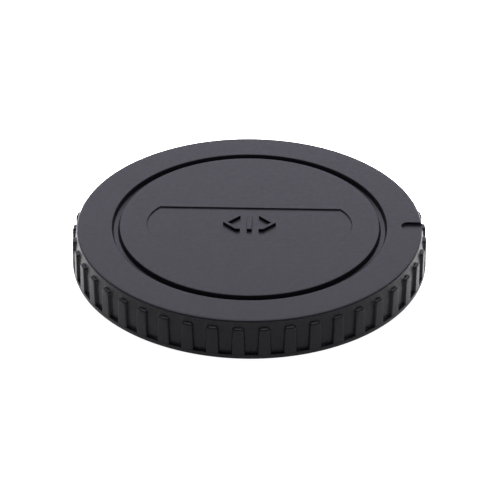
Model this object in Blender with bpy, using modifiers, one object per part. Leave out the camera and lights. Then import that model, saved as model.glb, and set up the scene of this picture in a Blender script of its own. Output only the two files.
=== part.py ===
"""A camera body cap, moulded in one piece.

Metres, +Z up. The cap stands on the end of its bayonet ring, with the ring's axis on Z, its index
slot towards +X and its badge along X.
"""

import math

import bmesh
import bpy
from mathutils import Matrix

# Bayonet ring, which goes into the camera's lens mount
RING_RADIUS = 0.0233
RING_WALL = 0.0015
RING_TIP = 0.0003  # length of ring below the lugs
TIP_CHAMFER = 0.0002

# Lugs, which turn in behind the mount's flange
LUG_COUNT = 3
LUG_ARC = math.radians(55)
LUG_TURN = math.radians(45)  # from the index slot to the middle of the first lug
LUG_REACH = 0.00135
LUG_THICKNESS = 0.0014
LUG_GAP = 0.0017  # between the seat face and a lug, where the flange lies
LUG_CHAMFER = 0.0002

# Skirt, which covers the mount
TRENCH_WIDTH = 0.00418  # from the lugs' tips to the skirt
SKIRT_WALL = 0.0016
CROWN_TAPER = 0.00032  # the crown leans in this far above the straight skirt
CROWN_HEIGHT = 0.0026  # from the straight skirt up to the top face
RIM_HEIGHT = 0.0069  # from the seat face to the top face
BAND_HEIGHT = 0.0008
SEAT_CHAMFER = 0.0001

# Grip ribs round the skirt
RIB_COUNT = 45
RIB_START = 0.5  # in rib pitches, from the index slot to the first rib
RIB_DEPTH = 0.00057
RIB_LEAN = 0.00008
RIB_TOP_WIDTH = 0.00165  # across a rib's face
RIB_FOOT_WIDTH = 0.00205
RIB_SLOPE = 0.00018  # a rib is this much wider on each side where it meets the skirt
RIB_DROP = 0.00122  # from the top face down to the ribs
RIB_ROUNDING = 0.0003
BAND_STEP = 0.00005  # the band stands this far proud of the ribs' feet

# Top plate
PLATE_THICKNESS = 0.0016
CROWN_ROUNDING = 0.00042
LAND_WIDTH = 0.00617  # from the crown's side in to the groove
GROOVE_WIDTH = 0.00134
GROOVE_DEPTH = 0.00095
GROOVE_LEAN = 0.00025  # each of the groove's walls leans in this far at its foot

# Sunk badge in the middle of the top, with its raised twist mark
BADGE_MARGIN = 0.00475  # from the groove in to the badge's ends
BADGE_WIDTH = 0.0104
BADGE_END_RADIUS = 0.0078
BADGE_DEPTH = 0.00025
MARK_RISE = 0.0005  # above the badge's floor
MARK_HEIGHT = 0.0044
MARK_STROKE = 0.0009
CHEVRON_GAP = 0.0011  # from the middle bar to each chevron
CHEVRON_DEPTH = 0.0022

# Index slot in the crown
SLOT_WIDTH = 0.00244
SLOT_LENGTH = 0.00363
SLOT_DEPTH = 0.0005

# Fineness of the round shapes, and how they are joined
FACETS_PER_RIB = 3
ROUNDING_STEPS = 3
ARC_STEPS = 12
JOIN_OVERLAP = 0.0004
CUT_OVERRUN = 0.002
MERGE_DISTANCE = 0.000001
SMOOTH_ANGLE = math.radians(30)

PLASTIC_COLOUR = (0.0105, 0.0103, 0.0116, 1.0)
PLASTIC_ROUGHNESS = 0.38

# Radii, worked outwards from the ring and back in over the top
LUG_RADIUS = RING_RADIUS + LUG_REACH
SKIRT_INNER_RADIUS = LUG_RADIUS + TRENCH_WIDTH
SKIRT_RADIUS = SKIRT_INNER_RADIUS + SKIRT_WALL
CROWN_RADIUS = SKIRT_RADIUS - CROWN_TAPER
BAND_RADIUS = SKIRT_RADIUS + RIB_DEPTH
GROOVE_OUTER_RADIUS = CROWN_RADIUS - LAND_WIDTH
GROOVE_INNER_RADIUS = GROOVE_OUTER_RADIUS - GROOVE_WIDTH

# Heights above the ring's end
LUG_BOTTOM = RING_TIP
LUG_TOP = LUG_BOTTOM + LUG_THICKNESS
SEAT_HEIGHT = LUG_TOP + LUG_GAP
TOP_HEIGHT = SEAT_HEIGHT + RIM_HEIGHT
PLATE_UNDERSIDE = TOP_HEIGHT - PLATE_THICKNESS
BAND_TOP = SEAT_HEIGHT + BAND_HEIGHT
RIB_TOP = TOP_HEIGHT - RIB_DROP
CROWN_FOOT = TOP_HEIGHT - CROWN_HEIGHT
BADGE_FLOOR = TOP_HEIGHT - BADGE_DEPTH


def clear_scene():
    for old in list(bpy.data.objects):
        bpy.data.objects.remove(old)


def new_collection(name):
    collection = bpy.data.collections.new(name)
    bpy.context.scene.collection.children.link(collection)
    return collection


def new_object(name, data, collection):
    made = bpy.data.objects.new(name, data)
    collection.objects.link(made)
    return made


def hide_tool(tool):
    """A shape that only cuts the cap, or is joined to it, isn't a piece of its own."""
    tool.hide_render = True
    tool.display_type = "WIRE"
    return tool


def plastic():
    material = bpy.data.materials.new("black_plastic")
    material.use_nodes = True
    shader = material.node_tree.nodes["Principled BSDF"]
    shader.inputs["Base Color"].default_value = PLASTIC_COLOUR
    shader.inputs["Roughness"].default_value = PLASTIC_ROUGHNESS
    shader.inputs["Metallic"].default_value = 0.0
    material.diffuse_color = PLASTIC_COLOUR
    return material


def arc(centre, radius, start, end, steps):
    """Points along a round stretch of an outline, both ends included."""
    angles = (start + (end - start) * step / steps for step in range(steps + 1))
    return [(centre[0] + radius * math.cos(a), centre[1] + radius * math.sin(a)) for a in angles]


def cap_profile():
    """Half of the cap's section, as (radius, height), from the axis over the top and back below."""
    groove_floor = TOP_HEIGHT - GROOVE_DEPTH
    ring_inner_radius = RING_RADIUS - RING_WALL
    over_the_top = [
        (0, TOP_HEIGHT),
        (GROOVE_INNER_RADIUS, TOP_HEIGHT),
        (GROOVE_INNER_RADIUS + GROOVE_LEAN, groove_floor),
        (GROOVE_OUTER_RADIUS - GROOVE_LEAN, groove_floor),
        (GROOVE_OUTER_RADIUS, TOP_HEIGHT),
    ]
    rounding_centre = (CROWN_RADIUS - CROWN_ROUNDING, TOP_HEIGHT - CROWN_ROUNDING)
    crown = arc(rounding_centre, CROWN_ROUNDING, math.pi / 2, 0, ROUNDING_STEPS)
    skirt = [
        (SKIRT_RADIUS, CROWN_FOOT),
        (SKIRT_RADIUS, BAND_TOP),
        (BAND_RADIUS, BAND_TOP),
        (BAND_RADIUS, SEAT_HEIGHT + SEAT_CHAMFER),
        (BAND_RADIUS - SEAT_CHAMFER, SEAT_HEIGHT),
        (SKIRT_INNER_RADIUS, SEAT_HEIGHT),
        (SKIRT_INNER_RADIUS, PLATE_UNDERSIDE),
    ]
    ring = [
        (RING_RADIUS, PLATE_UNDERSIDE),
        (RING_RADIUS, TIP_CHAMFER),
        (RING_RADIUS - TIP_CHAMFER, 0),
        (ring_inner_radius, 0),
        (ring_inner_radius, PLATE_UNDERSIDE),
        (0, PLATE_UNDERSIDE),
    ]
    return over_the_top + crown + skirt + ring


def turned_cap(collection):
    """The cap without its ribs, lugs and cuts, as a profile turned about Z."""
    points = [(radius, 0, height) for radius, height in cap_profile()]
    edges = [(i, i + 1) for i in range(len(points) - 1)]
    mesh = bpy.data.meshes.new("body_cap")
    mesh.from_pydata(points, edges, [])
    cap = new_object("body_cap", mesh, collection)
    turn = cap.modifiers.new("turn", "SCREW")
    turn.steps = turn.render_steps = RIB_COUNT * FACETS_PER_RIB
    turn.use_merge_vertices = True
    turn.merge_threshold = MERGE_DISTANCE
    return cap


def add_rib(bm, angle):
    """One tapering rib, which starts inside the skirt and the band and stands out of both."""
    foot_height = BAND_TOP - BAND_HEIGHT / 2
    foot_radius = BAND_RADIUS - BAND_STEP
    root_radius = SKIRT_RADIUS - JOIN_OVERLAP
    corners = bmesh.ops.create_cube(bm, size=2)["verts"]
    outer = {corner for corner in corners if corner.co.x > 0}
    upper = {corner for corner in corners if corner.co.z > 0}
    for corner in corners:
        height = RIB_TOP if corner in upper else foot_height
        radius = foot_radius - RIB_LEAN if corner in upper else foot_radius
        half_width = (RIB_TOP_WIDTH if corner in upper else RIB_FOOT_WIDTH) / 2
        if corner not in outer:
            half_width += RIB_SLOPE * (radius - root_radius) / RIB_DEPTH
            radius = root_radius
        corner.co = (radius, corner.co.y * half_width, height)
    bmesh.ops.rotate(bm, verts=corners, matrix=Matrix.Rotation(angle, 3, "Z"))
    edges = {edge for corner in corners for edge in corner.link_edges}
    proud = [edge for edge in edges if outer.issuperset(edge.verts) and not upper.isdisjoint(edge.verts)]
    bmesh.ops.bevel(
        bm, geom=proud, offset=RIB_ROUNDING, segments=ROUNDING_STEPS - 1, profile=0.5, affect="EDGES"
    )


def grip_ribs(collection):
    bm = bmesh.new()
    pitch = 2 * math.pi / RIB_COUNT
    for index in range(RIB_COUNT):
        add_rib(bm, (index + RIB_START) * pitch)
    mesh = bpy.data.meshes.new("grip_ribs")
    bm.to_mesh(mesh)
    bm.free()
    return hide_tool(new_object("grip_ribs", mesh, collection))


def extruded(name, outlines, bottom, top, collection):
    """A closed mesh between two heights, of one or more flat outlines."""
    curve = bpy.data.curves.new(name, "CURVE")
    curve.dimensions = "2D"
    curve.fill_mode = "BOTH"
    curve.extrude = (top - bottom) / 2
    for outline in outlines:
        spline = curve.splines.new("POLY")
        spline.points.add(len(outline) - 1)
        for point, (x, y) in zip(spline.points, outline):
            point.co = (x, y, 0, 1)
        spline.use_cyclic_u = True
    drawn = new_object(name + "_outline", curve, collection)
    drawn.location.z = (bottom + top) / 2
    bpy.context.view_layer.update()
    evaluated = drawn.evaluated_get(bpy.context.evaluated_depsgraph_get())
    mesh = bpy.data.meshes.new_from_object(evaluated)
    bm = bmesh.new()
    bm.from_mesh(mesh)
    bmesh.ops.remove_doubles(bm, verts=bm.verts, dist=MERGE_DISTANCE)
    bmesh.ops.recalc_face_normals(bm, faces=bm.faces)
    bm.to_mesh(mesh)
    bm.free()
    solid = new_object(name, mesh, collection)
    solid.matrix_world = drawn.matrix_world
    bpy.data.objects.remove(drawn)
    return hide_tool(solid)


def lugs(collection):
    """Arc-shaped lugs that start inside the ring's wall."""
    outlines = []
    for index in range(LUG_COUNT):
        middle = LUG_TURN + index * 2 * math.pi / LUG_COUNT
        start, end = middle - LUG_ARC / 2, middle + LUG_ARC / 2
        outer = arc((0, 0), LUG_RADIUS, start, end, ARC_STEPS)
        inner = arc((0, 0), RING_RADIUS - JOIN_OVERLAP, end, start, ARC_STEPS)
        outlines.append(outer + inner)
    made = extruded("lugs", outlines, LUG_BOTTOM, LUG_TOP, collection)
    chamfer = made.modifiers.new("chamfer", "BEVEL")
    chamfer.width = LUG_CHAMFER
    chamfer.segments = 1
    chamfer.limit_method = "ANGLE"
    chamfer.angle_limit = SMOOTH_ANGLE
    return made


def badge_recess(collection):
    """A long recess with straight sides and bulging ends."""
    half_length = GROOVE_INNER_RADIUS - BADGE_MARGIN
    swing = math.asin(BADGE_WIDTH / 2 / BADGE_END_RADIUS)
    right = arc((half_length - BADGE_END_RADIUS, 0), BADGE_END_RADIUS, -swing, swing, ARC_STEPS)
    left = [(-x, -y) for x, y in right]
    return extruded("badge_recess", [right + left], BADGE_FLOOR, TOP_HEIGHT + CUT_OVERRUN, collection)


def twist_mark(collection):
    """A bar between two chevrons that point both ways round."""
    half_height, half_stroke = MARK_HEIGHT / 2, MARK_STROKE / 2
    bar = [
        (-half_stroke, -half_height),
        (half_stroke, -half_height),
        (half_stroke, half_height),
        (-half_stroke, half_height),
    ]
    near = half_stroke + CHEVRON_GAP
    far = near + CHEVRON_DEPTH
    chevron = [
        (near, -half_height),
        (near + MARK_STROKE, -half_height),
        (far + MARK_STROKE, 0),
        (near + MARK_STROKE, half_height),
        (near, half_height),
        (far, 0),
    ]
    opposite = [(-x, -y) for x, y in chevron]
    foot = BADGE_FLOOR - JOIN_OVERLAP
    return extruded("twist_mark", [bar, chevron, opposite], foot, BADGE_FLOOR + MARK_RISE, collection)


def index_slot(collection):
    """A radial slot with a round inner end, open through the crown's side."""
    centre = (CROWN_RADIUS - SLOT_LENGTH + SLOT_WIDTH / 2, 0)
    round_end = arc(centre, SLOT_WIDTH / 2, math.pi / 2, 3 * math.pi / 2, ARC_STEPS)
    mouth = CROWN_RADIUS + CUT_OVERRUN
    outline = round_end + [(mouth, -SLOT_WIDTH / 2), (mouth, SLOT_WIDTH / 2)]
    floor = TOP_HEIGHT - SLOT_DEPTH
    return extruded("index_slot", [outline], floor, TOP_HEIGHT + CUT_OVERRUN, collection)


def combine(cap, tool, operation):
    boolean = cap.modifiers.new(tool.name, "BOOLEAN")
    boolean.operation = operation
    boolean.solver = "EXACT"
    boolean.object = tool


def shade(cap):
    """Round sides are shaded smooth, and the real edges stay sharp."""
    cap.data.shade_smooth()
    cap.data.set_sharp_from_angle(angle=SMOOTH_ANGLE)


def build():
    clear_scene()
    part = new_collection("camera_body_cap")
    tools = new_collection("cutters_and_joined_shapes")
    cap = turned_cap(part)
    cap.data.materials.append(plastic())
    combine(cap, grip_ribs(tools), "UNION")
    combine(cap, lugs(tools), "UNION")
    combine(cap, badge_recess(tools), "DIFFERENCE")
    combine(cap, twist_mark(tools), "UNION")
    combine(cap, index_slot(tools), "DIFFERENCE")
    shade(cap)


build()
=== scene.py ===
"""The looks of a camera body cap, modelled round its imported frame.

The file is laid out as an add-on and is run as a script. It works in metres with +Z up: the cap
stands on the end of its bayonet ring, with its index slot towards +X and its badge along X.
"""

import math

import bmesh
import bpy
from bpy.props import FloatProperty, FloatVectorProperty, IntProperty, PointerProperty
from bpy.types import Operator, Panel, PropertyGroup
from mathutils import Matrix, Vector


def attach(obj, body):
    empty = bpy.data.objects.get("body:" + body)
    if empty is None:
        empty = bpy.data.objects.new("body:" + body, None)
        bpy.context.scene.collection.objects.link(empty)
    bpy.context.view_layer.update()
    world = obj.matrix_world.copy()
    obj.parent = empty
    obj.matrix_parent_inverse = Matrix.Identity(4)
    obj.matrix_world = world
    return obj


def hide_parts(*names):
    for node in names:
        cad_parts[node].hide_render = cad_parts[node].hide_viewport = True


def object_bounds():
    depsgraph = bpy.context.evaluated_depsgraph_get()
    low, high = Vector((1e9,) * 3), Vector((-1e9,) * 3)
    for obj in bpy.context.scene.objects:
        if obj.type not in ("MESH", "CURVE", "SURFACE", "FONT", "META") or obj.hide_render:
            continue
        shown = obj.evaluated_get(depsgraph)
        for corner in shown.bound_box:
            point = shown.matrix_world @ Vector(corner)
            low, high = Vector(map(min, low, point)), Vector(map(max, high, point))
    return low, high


bl_info = {
    "name": "Camera body cap",
    "version": (1, 0, 0),
    "blender": (4, 5, 0),
    "location": "3D View > Sidebar > Body Cap",
    "description": "Models a ribbed camera body cap and the studio that it stands in",
    "category": "Object",
}

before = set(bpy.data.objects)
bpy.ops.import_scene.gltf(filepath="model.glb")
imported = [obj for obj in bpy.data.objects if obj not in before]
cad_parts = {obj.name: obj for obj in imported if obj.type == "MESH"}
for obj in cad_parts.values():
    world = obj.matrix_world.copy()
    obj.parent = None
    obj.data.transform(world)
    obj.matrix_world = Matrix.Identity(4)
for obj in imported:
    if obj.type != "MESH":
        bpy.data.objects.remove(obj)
cad_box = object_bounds()

CAD_NODE = "body_cap"
BODY = "root"

RIM_RADIUS = cad_box[1].x
MARK_TOP = cad_box[1].z

# Fineness of the round shapes
PITCH_COLUMNS = 8  # columns to each rib pitch, where there are no ribs
CROWN_STEPS = 6
CORNER_STEPS = 4
FILLET_STEPS = 3
OUTLINE_STEPS = 24
SHARP_ANGLE = math.radians(38)

# Width of the flat strip that is kept beside a rounding, as a multiple of its radius
FLAT_STRIP = 3
SEAT_STRIP = 4

MERGE_DISTANCE = 1e-7
CUT_OVERRUN = 0.002
JOIN_OVERLAP = 0.0004

# Where most of a noise texture's values lie
NOISE_LOW = 0.3
NOISE_HIGH = 0.7

# Floor and camera
FLOOR_HALF_WIDTH = 2.0
FLOOR_CLOUD_SIZE = 0.05
FLOOR_SMOOTH = 0.85
FLOOR_ROUGH = 0.95
SENSOR_WIDTH = 36  # in millimetres
CLIP_START = 0.01
CLIP_END = 20


def length(name, description, default):
    """A size in metres that a user may change."""
    return FloatProperty(
        name=name, description=description, default=default, min=0.0, precision=5, unit="LENGTH"
    )


def angle(name, description, default):
    """An angle that a user may change."""
    return FloatProperty(
        name=name, description=description, default=math.radians(default), subtype="ANGLE"
    )


def amount(name, description, default):
    """A plain number, such as a strength, that a user may change."""
    return FloatProperty(name=name, description=description, default=default, min=0.0, precision=4)


def colour(name, description, default):
    """A colour that a user may change."""
    return FloatVectorProperty(
        name=name, description=description, default=default, size=3, min=0.0, max=1.0, subtype="COLOR"
    )


class CapRimSizes(PropertyGroup):
    """Sizes of the skirt that covers the lens mount, and of the grip ribs round it."""

    seat_height: length("Seat height", "From the ring's end up to the rim's seat face", 0.0034)
    rim_height: length("Rim height", "From the seat face up to the top face", 0.0069)
    skirt_wall: length("Skirt wall", "Thickness of the skirt behind the ribs", 0.0016)
    crown_taper: length("Crown taper", "How far the crown leans in above the straight skirt", 0.00032)
    crown_height: length("Crown height", "From the straight skirt up to the top face", 0.0026)
    band_height: length("Band height", "Height of the plain band below the ribs", 0.0008)
    band_rounding: length("Band rounding", "Rounding of the band's upper edge", 0.00010)
    seat_rounding: length("Seat rounding", "Rounding of the band's lower edge", 0.00012)
    rib_count: IntProperty(name="Ribs", description="Number of grip ribs", default=45, min=3)
    rib_start: amount("First rib", "Rib pitches from the index slot to the first rib", 0.5)
    rib_depth: length("Rib depth", "How far the band and the ribs' feet stand out of the skirt", 0.00057)
    rib_step: length("Rib step", "How far the ribs' feet lie inside the band", 0.00004)
    rib_lean: length("Rib lean", "How far a rib's face leans in at its top", 0.00008)
    rib_top_width: length("Rib top width", "Width of a rib's face at its top", 0.00165)
    rib_foot_width: length("Rib foot width", "Width of a rib's face at its foot", 0.00205)
    rib_slope: length("Rib slope", "How much wider a rib is on each side where it meets the skirt", 0.00018)
    rib_drop: length("Rib drop", "From the top face down to the ribs' tops", 0.00122)
    rib_rounding: length("Rib rounding", "Rounding of a rib's upright edges", 0.00025)
    rib_crest: length("Rib crest", "Rounding of a rib's top, towards its face and its sides", 0.0004)
    rib_fillet: length("Rib fillet", "Fillet between a rib and the skirt", 0.00012)


class CapTopSizes(PropertyGroup):
    """Sizes of the crown, its ring groove, its index slot and the sunk badge."""

    plate_thickness: length("Plate", "Thickness of the top plate", 0.0016)
    crown_rounding: length("Crown rounding", "Rounding of the top's outer edge", 0.00042)
    land_width: length("Land width", "From the crown's side in to the groove", 0.00617)
    groove_width: length("Groove width", "Width of the ring groove", 0.00134)
    groove_depth: length("Groove depth", "Depth of the ring groove", 0.00095)
    groove_lean: length("Groove lean", "How far each of the groove's walls leans in at its foot", 0.00025)
    groove_rounding: length("Groove rounding", "Rounding of the groove's upper edges", 0.00016)
    groove_fillet: length("Groove fillet", "Fillet along the groove's floor", 0.00015)
    slot_width: length("Slot width", "Width of the index slot", 0.00244)
    slot_length: length("Slot length", "Length of the index slot", 0.00363)
    slot_depth: length("Slot depth", "Depth of the index slot", 0.0005)
    badge_margin: length("Badge margin", "From the groove in to the badge's ends", 0.00475)
    badge_width: length("Badge width", "Width across the badge", 0.0104)
    badge_end_radius: length("Badge ends", "Radius of the badge's bulging ends", 0.0078)
    badge_depth: length("Badge depth", "Depth of the badge's floor", 0.00025)
    badge_rounding: length("Badge rounding", "Rounding of the badge's upper edge", 0.00017)
    badge_fillet: length("Badge fillet", "Fillet round the badge's floor", 0.00005)
    slot_rounding: length("Slot rounding", "Rounding of the slot's edges", 0.00011)
    mark_height: length("Mark height", "Height of the raised twist mark's strokes", 0.0044)
    mark_stroke: length("Mark stroke", "Width of the twist mark's strokes", 0.0009)
    chevron_gap: length("Chevron gap", "From the mark's bar to each chevron", 0.0011)
    chevron_depth: length("Chevron depth", "How far each chevron points outwards", 0.0022)
    mark_rounding: length("Mark rounding", "Rounding of the twist mark's edges", 0.00010)


class CapBayonetSizes(PropertyGroup):
    """Sizes of the ring and lugs that go into the lens mount."""

    ring_radius: length("Ring radius", "Outer radius of the bayonet ring", 0.0233)
    ring_wall: length("Ring wall", "Thickness of the bayonet ring", 0.0015)
    ring_rounding: length("Ring rounding", "Rounding of the ring's lower edges", 0.0002)
    root_fillet: length("Root fillet", "Fillet where the ring and skirt leave the top plate", 0.0003)
    lug_count: IntProperty(name="Lugs", description="Number of bayonet lugs", default=3, min=1)
    lug_arc: angle("Lug arc", "Length of each lug round the ring", 55)
    lug_turn: angle("Lug turn", "From the index slot to the middle of the first lug", 45)
    lug_reach: length("Lug reach", "How far the lugs stand out of the ring", 0.00135)
    lug_bottom: length("Lug bottom", "From the ring's end up to the lugs", 0.0003)
    lug_thickness: length("Lug thickness", "Thickness of the lugs", 0.0014)
    lug_rounding: length("Lug rounding", "Rounding of the lugs' edges", 0.0002)


class CapFinish(PropertyGroup):
    """Finish of the moulded plastic."""

    dark: colour("Dark tone", "Darker tone of the plastic", (0.0036, 0.0035, 0.0040))
    light: colour("Light tone", "Lighter tone of the plastic", (0.0048, 0.0047, 0.0053))
    cloud_size: length("Cloud size", "Size of the clouds of tone", 0.0040)
    polish_size: length("Polish size", "Size of the more and less polished places", 0.0008)
    smooth: amount("Smooth", "Roughness where the mould was polished most", 0.34)
    rough: amount("Rough", "Roughness where the mould was polished least", 0.42)
    specular: amount("Specular", "Strength of the surface's gloss", 0.11)
    grain_size: length("Grain size", "Size of the spark-eroded grain", 0.00020)
    grain_height: length("Grain height", "Height of the grain", 0.000004)


class CapStudio(PropertyGroup):
    """Camera and light."""

    lens: amount("Lens", "Focal length in millimetres on a 36 mm sensor", 152.2)
    distance: length("Distance", "From the camera to the middle of the top face", 0.3685)
    elevation: angle("Elevation", "Height of the camera above the horizon", 31.89)
    swing: angle("Swing", "Turn of the camera round the cap, from the front", 1.25)
    roll: angle("Roll", "Roll of the camera", 0.264)
    aim_left: amount("Aim left", "Share of the picture's width from its middle left to the top face", 0.00107)
    aim_up: amount("Aim up", "Share of the picture's width from its middle up to the top face", 0.05332)
    floor_tone: colour("Floor", "Colour of the floor", (0.3, 0.3, 0.3))
    # The dim place is a painted shadow: the table's glow is turned down there, in place of the cap's shadow
    # in front of it.
    painted_shadow_forward: length("Dim place", "From the cap's axis forward to the table's dim place", 0.06)
    painted_shadow_radius: length("Dim radius", "Radius of the dim place", 0.056)
    lit_radius: length("Lit radius", "How far from that middle the table is fully lit", 0.15)
    painted_shadow_glow: amount("Near glow", "Light that comes up through the table in its dim place", 0.99)
    far_glow: amount("Far glow", "Light that comes up through the table where it is fully lit", 8.0)
    sky: amount("Sky", "Strength of the even light all round", 0.4)
    panel_distance: length("Panel distance", "From the cap to the middle of each panel", 0.9)
    back_power: amount("Back light", "Radiance of the large panel behind", 3.5)
    back_elevation: angle("Back panel's place", "Height of the large panel above the horizon", 39)
    back_width: length("Back panel's width", "Width of the large panel", 1.5)
    back_depth: length("Back panel's depth", "Depth of the large panel from edge to edge", 0.75)
    top_power: amount("Top light", "Radiance of the panel overhead", 12.0)
    top_elevation: angle("Top panel's place", "Height of the panel overhead above the horizon", 78)
    top_width: length("Top panel's width", "Width of the panel overhead", 0.9)
    top_depth: length("Top panel's depth", "Depth of the panel overhead from edge to edge", 0.32)
    cool: colour("Cool white", "Colour of the studio's light", (0.87, 0.85, 1.0))


class CapForm:
    """Radii and heights worked out from the sizes, from the rim in and from the ring's end up."""

    def __init__(self, rim, top, bayonet):
        self.rib_count = rim.rib_count
        self.pitch = 2 * math.pi / rim.rib_count
        self.start = (rim.rib_start - 0.5) * self.pitch
        self.columns = rim.rib_count * PITCH_COLUMNS
        self.band_radius = RIM_RADIUS
        self.skirt_radius = self.band_radius - rim.rib_depth
        self.skirt_inner = self.skirt_radius - rim.skirt_wall
        self.crown = self.skirt_radius - rim.crown_taper
        self.groove_outer = self.crown - top.land_width
        self.groove_inner = self.groove_outer - top.groove_width
        self.badge_half_length = self.groove_inner - top.badge_margin
        self.lug_radius = bayonet.ring_radius + bayonet.lug_reach
        self.ring_inner = bayonet.ring_radius - bayonet.ring_wall
        self.top = rim.seat_height + rim.rim_height
        self.underside = self.top - top.plate_thickness
        self.band_top = rim.seat_height + rim.band_height
        self.badge_floor = self.top - top.badge_depth


def arc(centre, radius, start, end, steps):
    """Points along a round stretch, both ends included."""
    angles = (start + (end - start) * step / steps for step in range(steps + 1))
    return [(centre[0] + radius * math.cos(a), centre[1] + radius * math.sin(a)) for a in angles]


def rounded_path(corners, steps):
    """A section of straight runs through (radius, height, rounding), with its corners rounded."""
    path = []
    for index, (x, z, rounding) in enumerate(corners):
        corner = Vector((x, z))
        if not rounding:
            path.append(corner)
            continue
        before = (Vector(corners[index - 1][:2]) - corner).normalized()
        after = (Vector(corners[index + 1][:2]) - corner).normalized()
        half = before.angle(after) / 2
        centre = corner + (before + after).normalized() * rounding / math.sin(half)
        first = corner + before * rounding / math.tan(half) - centre
        last = corner + after * rounding / math.tan(half) - centre
        start = math.atan2(first.y, first.x)
        sweep = math.remainder(math.atan2(last.y, last.x) - start, 2 * math.pi)
        path += arc(centre, rounding, start, start + sweep, steps)
    return path


def circle(bm, form, radius, height):
    """A ring of corners, evenly spaced and starting in the middle of a gap between ribs."""
    turns = (form.start + 2 * math.pi * column / form.columns for column in range(form.columns))
    return [bm.verts.new((radius * math.cos(a), radius * math.sin(a), height)) for a in turns]


def bridge(bm, rings):
    """Faces between rings of equal count."""
    for inner, outer in zip(rings, rings[1:]):
        for column, corner in enumerate(inner):
            after = (column + 1) % len(inner)
            bm.faces.new((corner, outer[column], outer[after], inner[after]))


def turns_of(ring):
    """Angles of a ring's corners, counted on from its first one, with the full turn at the end."""
    first = math.atan2(ring[0].co.y, ring[0].co.x)
    turns = [(math.atan2(corner.co.y, corner.co.x) - first) % (2 * math.pi) for corner in ring]
    turns[0] = 0
    return turns + [2 * math.pi]


def zip_rings(bm, inner, outer):
    """Triangles between two rings that start at one angle and differ in count."""
    inner_turns, outer_turns = turns_of(inner), turns_of(outer)
    i = o = 0
    while i < len(inner) or o < len(outer):
        here, there = inner[i % len(inner)], outer[o % len(outer)]
        if o == len(outer) or (i < len(inner) and inner_turns[i + 1] <= outer_turns[o + 1]):
            i += 1
            bm.faces.new((here, there, inner[i % len(inner)]))
        else:
            o += 1
            bm.faces.new((here, there, outer[o % len(outer)]))


def half_pitch(form, wall, face, half_width, slope, rounding, fillet):
    """Outline from the middle of a gap to the middle of a rib, as (distance across, radius)."""
    foot = half_width + slope
    middle = wall * form.pitch / 2
    return rounded_path(
        [
            (middle, wall, 0),
            ((middle + foot + fillet) / 2, wall, 0),
            (foot, wall, fillet),
            (half_width, face, rounding),
            (0, face, 0),
        ],
        CORNER_STEPS,
    )


def rib_ring(bm, form, height, outline, lowest, highest):
    """A ring of corners that repeats an outline at every rib, held between two radii."""
    half = [(across / radius, min(max(radius, lowest), highest)) for across, radius in outline]
    pitch = [(-turn, radius) for turn, radius in half] + [(t, r) for t, r in half[-2:0:-1]]
    ring = []
    for rib in range(form.rib_count):
        middle = form.start + (rib + 0.5) * form.pitch
        for turn, radius in pitch:
            a = middle + turn
            ring.append(bm.verts.new((radius * math.cos(a), radius * math.sin(a), height)))
    return ring


def skirt_rings(bm, form, rim, top):
    """Rings from the land over the crown, down the ribs and round the band to the seat face."""
    rib_top = form.top - rim.rib_drop
    crown_foot = form.top - rim.crown_height
    face_foot = form.band_radius - rim.rib_step
    foot = form.band_top + rim.rib_fillet

    def wall(height):
        """The skirt's radius at a height, which the crown's taper draws in."""
        rise = max(height - crown_foot, 0) / (rim.crown_height - top.crown_rounding)
        return form.skirt_radius - rim.crown_taper * rise

    def outline(height, rounding_angle=0.0, lift=0.0):
        """A rib's outline at a height, where its edges are rounded by so much of a quarter turn."""
        rise = (height - form.band_top) / (rib_top - form.band_top)
        inset = rim.rib_crest * (1 - math.cos(rounding_angle))
        face = face_foot - rim.rib_lean * rise - inset
        half_width = (rim.rib_foot_width + (rim.rib_top_width - rim.rib_foot_width) * rise) / 2 - inset
        edge = rim.rib_rounding * math.cos(rounding_angle)
        return half_pitch(form, wall(height) + lift, face, half_width, rim.rib_slope, edge, rim.rib_fillet)

    flat_top = outline(rib_top, math.pi / 2)
    crown_corner = (form.crown - top.crown_rounding, form.top - top.crown_rounding)
    crown = [(crown_corner[0] - top.crown_rounding, form.top)]
    crown += arc(crown_corner, top.crown_rounding, math.pi / 2, 0, CROWN_STEPS)
    crown.append((wall(rib_top), rib_top))
    rings = [rib_ring(bm, form, height, flat_top, radius, radius) for radius, height in crown]
    for step in range(CORNER_STEPS, -1, -1):
        rounding_angle = math.pi / 2 * step / CORNER_STEPS
        height = rib_top - rim.rib_crest * (1 - math.sin(rounding_angle))
        rings.append(rib_ring(bm, form, height, outline(height, rounding_angle), 0, form.band_radius))
    rings.append(rib_ring(bm, form, crown_foot, outline(crown_foot), 0, form.band_radius))
    for step in range(FILLET_STEPS + 1):
        fillet_angle = math.pi / 2 * step / FILLET_STEPS
        height = foot - rim.rib_fillet * math.sin(fillet_angle)
        lift = rim.rib_fillet * (1 - math.cos(fillet_angle))
        rings.append(rib_ring(bm, form, height, outline(height, 0, lift), 0, form.band_radius))
    at_band = outline(form.band_top, 0, rim.rib_fillet)
    band_corner = (form.band_radius - rim.band_rounding, form.band_top - rim.band_rounding)
    for radius, height in arc(band_corner, rim.band_rounding, math.pi / 2, 0, FILLET_STEPS):
        rings.append(rib_ring(bm, form, height, at_band, radius, form.band_radius))
    seat_corner = (form.band_radius - rim.seat_rounding, rim.seat_height + rim.seat_rounding)
    seat = arc(seat_corner, rim.seat_rounding, 0, -math.pi / 2, FILLET_STEPS)
    seat.append((seat_corner[0] - rim.seat_rounding, rim.seat_height))
    rings += [rib_ring(bm, form, height, at_band, radius, radius) for radius, height in seat]
    return rings


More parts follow.
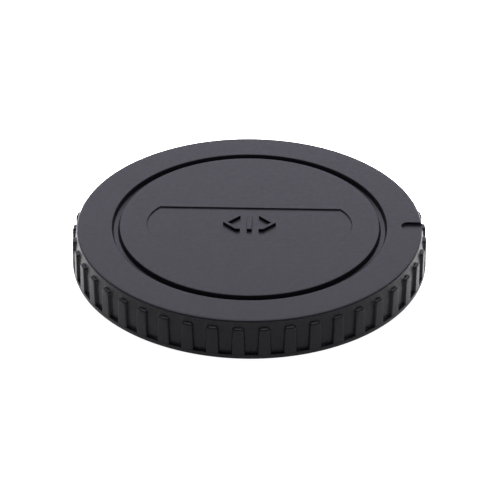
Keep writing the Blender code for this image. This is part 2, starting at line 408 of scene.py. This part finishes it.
def top_path(form, top):
    """Section of the top from its middle disc across the groove to the land."""
    floor = form.top - top.groove_depth
    land_edge = form.crown - FLAT_STRIP * top.crown_rounding
    groove_strip = FLAT_STRIP * top.groove_rounding
    return rounded_path(
        [
            (form.groove_inner - groove_strip, form.top, 0),
            (form.groove_inner, form.top, top.groove_rounding),
            (form.groove_inner + top.groove_lean, floor, top.groove_fillet),
            (form.groove_outer - top.groove_lean, floor, top.groove_fillet),
            (form.groove_outer, form.top, top.groove_rounding),
            (form.groove_outer + groove_strip, form.top, 0),
            (land_edge, form.top, 0),
        ],
        CORNER_STEPS,
    )


def under_path(form, rim, bayonet):
    """Section of the underside from the seat face in through the trench and ring to the plate."""
    return rounded_path(
        [
            (form.band_radius - SEAT_STRIP * rim.seat_rounding, rim.seat_height, 0),
            (form.skirt_inner, rim.seat_height, rim.seat_rounding),
            (form.skirt_inner, form.underside, bayonet.root_fillet),
            (bayonet.ring_radius, form.underside, bayonet.root_fillet),
            (bayonet.ring_radius, 0, bayonet.ring_rounding),
            (form.ring_inner, 0, bayonet.ring_rounding),
            (form.ring_inner, form.underside, bayonet.root_fillet),
            (form.ring_inner - FLAT_STRIP * bayonet.root_fillet, form.underside, 0),
        ],
        FILLET_STEPS,
    )


def new_piece(name, bm):
    """A scene object made from a mesh under work, whose coincident corners are merged first."""
    bmesh.ops.remove_doubles(bm, verts=bm.verts, dist=MERGE_DISTANCE)
    mesh = bpy.data.meshes.new(name)
    bm.to_mesh(mesh)
    bm.free()
    piece = bpy.data.objects.new(name, mesh)
    bpy.context.scene.collection.objects.link(piece)
    return piece


def plain_moulding(form, rim, top, bayonet):
    """The cap with its ribs and groove, before the lugs, the badge, its mark and the slot."""
    bm = bmesh.new()
    over = [circle(bm, form, radius, height) for radius, height in top_path(form, top)]
    skirt = skirt_rings(bm, form, rim, top)
    under = [circle(bm, form, radius, height) for radius, height in under_path(form, rim, bayonet)]
    bm.faces.new(over[0])
    bridge(bm, over)
    zip_rings(bm, over[-1], skirt[0])
    bridge(bm, skirt)
    zip_rings(bm, skirt[-1], under[0])
    bridge(bm, under)
    bm.faces.new(reversed(under[-1]))
    return new_piece("cap_moulding", bm)


def stacked(name, outlines):
    """A closed solid through a stack of outlines of equal count, each a height and its points."""
    bm = bmesh.new()
    rings = [[bm.verts.new((x, y, height)) for x, y in points] for height, points in outlines]
    bridge(bm, rings)
    bm.faces.new(rings[0])
    bm.faces.new(reversed(rings[-1]))
    return new_piece(name, bm)


def cutter_levels(form, rounding, fillet, floor):
    """Heights down a cutter with how far its outline is let out there, flared at the top face."""
    levels = [(form.top + CUT_OVERRUN, rounding)]
    flare = arc((rounding, form.top - rounding), rounding, math.pi / 2, math.pi, CORNER_STEPS)
    levels += [(height, let_out) for let_out, height in flare]
    hollow = arc((-fillet, floor + fillet), fillet, 0, -math.pi / 2, CORNER_STEPS)
    return levels + [(height, let_out) for let_out, height in hollow]


def badge_outline(form, top, let_out):
    """A long outline with straight sides and bulging ends, let out all round."""
    radius = top.badge_end_radius + let_out
    swing = math.asin((top.badge_width / 2 + let_out) / radius)
    centre = (form.badge_half_length - top.badge_end_radius, 0)
    right = arc(centre, radius, -swing, swing, OUTLINE_STEPS)
    return right + [(-x, -y) for x, y in right]


def badge_cutter(form, top):
    """A solid of the badge's hollow."""
    levels = cutter_levels(form, top.badge_rounding, top.badge_fillet, form.badge_floor)
    return stacked(
        "badge_cutter", [(height, badge_outline(form, top, let_out)) for height, let_out in levels]
    )


def slot_outline(form, top, let_out):
    """A radial slot with a round inner end, whose mouth flares at the crown's side."""
    half = top.slot_width / 2 + let_out
    end_centre = (form.crown - top.slot_length + top.slot_width / 2, 0)
    round_end = arc(end_centre, half, math.pi / 2, 1.5 * math.pi, OUTLINE_STEPS)
    rounding = top.slot_rounding
    near = arc((form.crown - rounding, -half - rounding), rounding, math.pi / 2, 0, CORNER_STEPS)
    far = [(x, -y) for x, y in reversed(near)]
    mouth = [(form.crown + CUT_OVERRUN, near[-1][1]), (form.crown + CUT_OVERRUN, far[0][1])]
    return round_end + near + mouth + far


def slot_cutter(form, top):
    """A solid of the slot's hollow."""
    levels = cutter_levels(form, top.slot_rounding, top.slot_rounding, form.top - top.slot_depth)
    return stacked(
        "slot_cutter", [(height, slot_outline(form, top, let_out)) for height, let_out in levels]
    )


def round_prisms(name, outlines, bottom, height, rounding):
    """Upright prisms with rounded edges."""
    bm = bmesh.new()
    for outline in outlines:
        floor = bm.faces.new([bm.verts.new((x, y, bottom)) for x, y in outline])
        raised = bmesh.ops.extrude_face_region(bm, geom=[floor], use_keep_orig=True)["geom"]
        for corner in raised:
            if isinstance(corner, bmesh.types.BMVert):
                corner.co.z += height
    bmesh.ops.recalc_face_normals(bm, faces=bm.faces)
    sharp = [edge for edge in bm.edges if edge.calc_face_angle(0) > SHARP_ANGLE]
    bmesh.ops.bevel(
        bm,
        geom=sharp,
        offset=rounding,
        segments=FILLET_STEPS,
        profile=0.5,
        affect="EDGES",
        clamp_overlap=True,
    )
    return new_piece(name, bm)


def lugs(form, bayonet):
    """Arc-shaped lugs that start inside the ring's wall."""
    outlines = []
    inner_radius = bayonet.ring_radius - bayonet.ring_wall / 2
    for index in range(bayonet.lug_count):
        middle = bayonet.lug_turn + index * 2 * math.pi / bayonet.lug_count
        start, end = middle - bayonet.lug_arc / 2, middle + bayonet.lug_arc / 2
        outer = arc((0, 0), form.lug_radius, start, end, OUTLINE_STEPS)
        outlines.append(outer + arc((0, 0), inner_radius, end, start, OUTLINE_STEPS))
    return round_prisms("lugs", outlines, bayonet.lug_bottom, bayonet.lug_thickness, bayonet.lug_rounding)


def twist_mark(form, top):
    """A bar between two chevrons that point both ways round."""
    half_height, half_stroke = top.mark_height / 2, top.mark_stroke / 2
    bar = [
        (-half_stroke, -half_height),
        (half_stroke, -half_height),
        (half_stroke, half_height),
        (-half_stroke, half_height),
    ]
    near = half_stroke + top.chevron_gap
    far = near + top.chevron_depth
    chevron = [
        (near, -half_height),
        (near + top.mark_stroke, -half_height),
        (far + top.mark_stroke, 0),
        (near + top.mark_stroke, half_height),
        (near, half_height),
        (far, 0),
    ]
    opposite = [(-x, -y) for x, y in chevron]
    foot = form.badge_floor - JOIN_OVERLAP
    return round_prisms("twist_mark", [bar, chevron, opposite], foot, MARK_TOP - foot, top.mark_rounding)


def combine(piece, tools):
    """Cuts each tool out of the piece or joins it to the piece, and removes the tools."""
    for tool, operation in tools:
        boolean = piece.modifiers.new(tool.name, "BOOLEAN")
        boolean.operation = operation
        boolean.solver = "EXACT"
        boolean.object = tool
    bpy.context.view_layer.update()
    evaluated = piece.evaluated_get(bpy.context.evaluated_depsgraph_get())
    old = piece.data
    mesh = bpy.data.meshes.new_from_object(evaluated)
    bm = bmesh.new()
    bm.from_mesh(mesh)
    # A cut that meets a corner of the piece leaves an edge without length
    bmesh.ops.dissolve_degenerate(bm, dist=MERGE_DISTANCE, edges=bm.edges)
    bm.to_mesh(mesh)
    bm.free()
    piece.modifiers.clear()
    piece.data = mesh
    mesh.name = old.name
    bpy.data.meshes.remove(old)
    for tool, operation in tools:
        bpy.data.meshes.remove(tool.data)


def shade(piece):
    """Rounded edges are shaded smooth, and the flat faces between them stay flat."""
    piece.data.shade_smooth()
    piece.data.set_sharp_from_angle(angle=SHARP_ANGLE)
    weighted = piece.modifiers.new("flat_faces", "WEIGHTED_NORMAL")
    weighted.keep_sharp = True
    weighted.weight = 100


def new_material(name):
    """A material with an empty node tree but for its output and one Principled shader."""
    material = bpy.data.materials.new(name)
    material.use_nodes = True
    return material, material.node_tree, material.node_tree.nodes["Principled BSDF"]


def noise(tree, places, size, detail):
    """A noise texture whose features are about so large, in metres."""
    texture = tree.nodes.new("ShaderNodeTexNoise")
    texture.inputs["Scale"].default_value = 1 / size
    texture.inputs["Detail"].default_value = detail
    tree.links.new(places, texture.inputs["Vector"])
    return texture.outputs["Fac"]


def between(tree, value, low, high):
    """A value from 0 to 1 spread between two others."""
    spread = tree.nodes.new("ShaderNodeMapRange")
    spread.inputs["From Min"].default_value = NOISE_LOW
    spread.inputs["From Max"].default_value = NOISE_HIGH
    spread.inputs["To Min"].default_value = low
    spread.inputs["To Max"].default_value = high
    tree.links.new(value, spread.inputs["Value"])
    return spread.outputs["Result"]


def moulded_plastic(finish):
    """Black plastic with faint clouds of tone and gloss, and the fine grain of a spark-eroded mould."""
    material, tree, shader = new_material("moulded_black_plastic")
    places = tree.nodes.new("ShaderNodeTexCoord").outputs["Object"]
    clouds = noise(tree, places, finish.cloud_size, detail=3)
    tones = tree.nodes.new("ShaderNodeValToRGB")
    tones.color_ramp.elements[0].position = NOISE_LOW
    tones.color_ramp.elements[0].color = (*finish.dark, 1)
    tones.color_ramp.elements[1].position = NOISE_HIGH
    tones.color_ramp.elements[1].color = (*finish.light, 1)
    tree.links.new(clouds, tones.inputs["Fac"])
    tree.links.new(tones.outputs["Color"], shader.inputs["Base Color"])
    polish = noise(tree, places, finish.polish_size, detail=4)
    tree.links.new(between(tree, polish, finish.smooth, finish.rough), shader.inputs["Roughness"])
    grain = noise(tree, places, finish.grain_size, detail=2)
    bump = tree.nodes.new("ShaderNodeBump")
    bump.inputs["Distance"].default_value = finish.grain_height
    tree.links.new(grain, bump.inputs["Height"])
    tree.links.new(bump.outputs["Normal"], shader.inputs["Normal"])
    shader.inputs["Specular IOR Level"].default_value = finish.specular
    return material


def floor_material(studio):
    """A matt white floor that glows like a light table, with a painted shadow: its glow is turned down in a
    round place just in front of the cap, in place of the cap's shadow there, and it has a trace of
    unevenness.
    """
    material, tree, shader = new_material("pale_floor")
    places = tree.nodes.new("ShaderNodeTexCoord").outputs["Object"]
    shader.inputs["Base Color"].default_value = (*studio.floor_tone, 1)
    shader.inputs["Specular IOR Level"].default_value = 0.0
    shader.inputs["Emission Color"].default_value = (1, 1, 1, 1)
    # Painted shadow: the glow is lowest within a radius of a place in front of the cap and rises to full
    # strength further out. It stands in for the cap's shadow on the table, which the cap's walls reflect.
    reach = tree.nodes.new("ShaderNodeVectorMath")
    reach.operation = "DISTANCE"
    reach.inputs[1].default_value = (0, -studio.painted_shadow_forward, 0)
    tree.links.new(places, reach.inputs[0])
    glow = tree.nodes.new("ShaderNodeMapRange")
    glow.inputs["From Min"].default_value = studio.painted_shadow_radius
    glow.inputs["From Max"].default_value = studio.lit_radius
    glow.inputs["To Min"].default_value = studio.painted_shadow_glow
    glow.inputs["To Max"].default_value = studio.far_glow
    tree.links.new(reach.outputs["Value"], glow.inputs["Value"])
    tree.links.new(glow.outputs["Result"], shader.inputs["Emission Strength"])
    clouds = noise(tree, places, FLOOR_CLOUD_SIZE, detail=2)
    tree.links.new(between(tree, clouds, FLOOR_SMOOTH, FLOOR_ROUGH), shader.inputs["Roughness"])
    return material


def add_floor(studio):
    """A wide flat floor under the cap."""
    bm = bmesh.new()
    bmesh.ops.create_grid(bm, x_segments=4, y_segments=4, size=FLOOR_HALF_WIDTH)
    floor = new_piece("floor", bm)
    floor.data.materials.append(floor_material(studio))


def add_panel(name, studio, elevation, width, depth, radiance):
    """A soft panel behind the cap that faces it, with the radiance that its surface is to show."""
    light = bpy.data.lights.new(name, "AREA")
    light.shape = "RECTANGLE"
    light.size = width
    light.size_y = depth
    light.energy = radiance * math.pi * width * depth
    light.color = studio.cool
    panel = bpy.data.objects.new(name, light)
    bpy.context.scene.collection.objects.link(panel)
    away = Vector((0, math.cos(elevation), math.sin(elevation)))
    panel.location = away * studio.panel_distance
    panel.rotation_euler = away.to_track_quat("Z", "Y").to_euler()


def add_sky(studio):
    """Even light from all round."""
    world = bpy.data.worlds.new("even_light")
    world.use_nodes = True
    background = world.node_tree.nodes["Background"]
    background.inputs["Color"].default_value = (*studio.cool, 1)
    background.inputs["Strength"].default_value = studio.sky
    bpy.context.scene.world = world


def add_camera(form, studio):
    """A camera at the photograph's angle, turned so that the top face lies as in the photograph."""
    data = bpy.data.cameras.new("camera")
    data.lens = studio.lens
    data.sensor_width = SENSOR_WIDTH
    data.clip_start = CLIP_START
    data.clip_end = CLIP_END
    camera = bpy.data.objects.new("camera", data)
    bpy.context.scene.collection.objects.link(camera)
    away = Vector((
        math.sin(studio.swing) * math.cos(studio.elevation),
        -math.cos(studio.swing) * math.cos(studio.elevation),
        math.sin(studio.elevation),
    ))
    look = away.to_track_quat("Z", "Y").to_matrix()
    frame_share = data.sensor_width / data.lens
    turn = Matrix.Rotation(-math.atan(studio.aim_left * frame_share), 3, "Y")
    tilt = Matrix.Rotation(-math.atan(studio.aim_up * frame_share), 3, "X")
    roll = Matrix.Rotation(studio.roll, 3, "Z")
    middle = Vector((0, 0, form.top))
    facing = look @ roll @ turn @ tilt
    camera.matrix_world = Matrix.Translation(middle + away * studio.distance) @ facing.to_4x4()
    bpy.context.scene.camera = camera


class BODYCAP_OT_moulding(Operator):
    """Models the whole moulded cap: crown, ribs, groove, badge, slot, bayonet ring and lugs"""

    bl_idname = "bodycap.moulding"
    bl_label = "Model the moulding"

    def execute(self, context):
        scene = context.scene
        rim, top, bayonet = scene.cap_rim, scene.cap_top, scene.cap_bayonet
        form = CapForm(rim, top, bayonet)
        piece = plain_moulding(form, rim, top, bayonet)
        tools = [
            (lugs(form, bayonet), "UNION"),
            (badge_cutter(form, top), "DIFFERENCE"),
            (twist_mark(form, top), "UNION"),
            (slot_cutter(form, top), "DIFFERENCE"),
        ]
        combine(piece, tools)
        shade(piece)
        piece.data.materials.clear()
        piece.data.materials.append(moulded_plastic(scene.cap_finish))
        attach(piece, BODY)
        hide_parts(CAD_NODE)
        return {"FINISHED"}


class BODYCAP_OT_studio(Operator):
    """Sets up the pale floor, the soft light and the camera"""

    bl_idname = "bodycap.studio"
    bl_label = "Set up the studio"

    def execute(self, context):
        scene = context.scene
        studio = scene.cap_studio
        add_floor(studio)
        add_sky(studio)
        add_panel(
            "back_panel",
            studio,
            studio.back_elevation,
            studio.back_width,
            studio.back_depth,
            studio.back_power,
        )
        add_panel(
            "top_panel",
            studio,
            studio.top_elevation,
            studio.top_width,
            studio.top_depth,
            studio.top_power,
        )
        add_camera(CapForm(scene.cap_rim, scene.cap_top, scene.cap_bayonet), studio)
        scene.view_settings.view_transform = "Standard"
        return {"FINISHED"}


class BODYCAP_PT_panel(Panel):
    """Lists the cap's sizes and finish, and the steps that make it"""

    bl_idname = "BODYCAP_PT_panel"
    bl_label = "Body cap"
    bl_space_type = "VIEW_3D"
    bl_region_type = "UI"
    bl_category = "Body Cap"

    def draw(self, context):
        scene = context.scene
        for heading, settings in (
            ("Rim and ribs", scene.cap_rim),
            ("Top", scene.cap_top),
            ("Bayonet", scene.cap_bayonet),
            ("Finish", scene.cap_finish),
            ("Studio", scene.cap_studio),
        ):
            box = self.layout.box()
            box.label(text=heading)
            for name in settings.__annotations__:
                box.prop(settings, name)
        for step in STEPS:
            self.layout.operator(step.bl_idname)


SETTINGS = {
    "cap_rim": CapRimSizes,
    "cap_top": CapTopSizes,
    "cap_bayonet": CapBayonetSizes,
    "cap_finish": CapFinish,
    "cap_studio": CapStudio,
}
STEPS = (BODYCAP_OT_moulding, BODYCAP_OT_studio)


def register():
    for listed in (*SETTINGS.values(), *STEPS, BODYCAP_PT_panel):
        bpy.utils.register_class(listed)
    for name, settings in SETTINGS.items():
        setattr(bpy.types.Scene, name, PointerProperty(type=settings))


def unregister():
    for name in SETTINGS:
        delattr(bpy.types.Scene, name)
    for listed in (BODYCAP_PT_panel, *STEPS, *SETTINGS.values()):
        bpy.utils.unregister_class(listed)


def main():
    register()
    bpy.ops.bodycap.moulding()
    bpy.ops.bodycap.studio()
    bpy.context.view_layer.update()


if __name__ == "__main__":
    main()
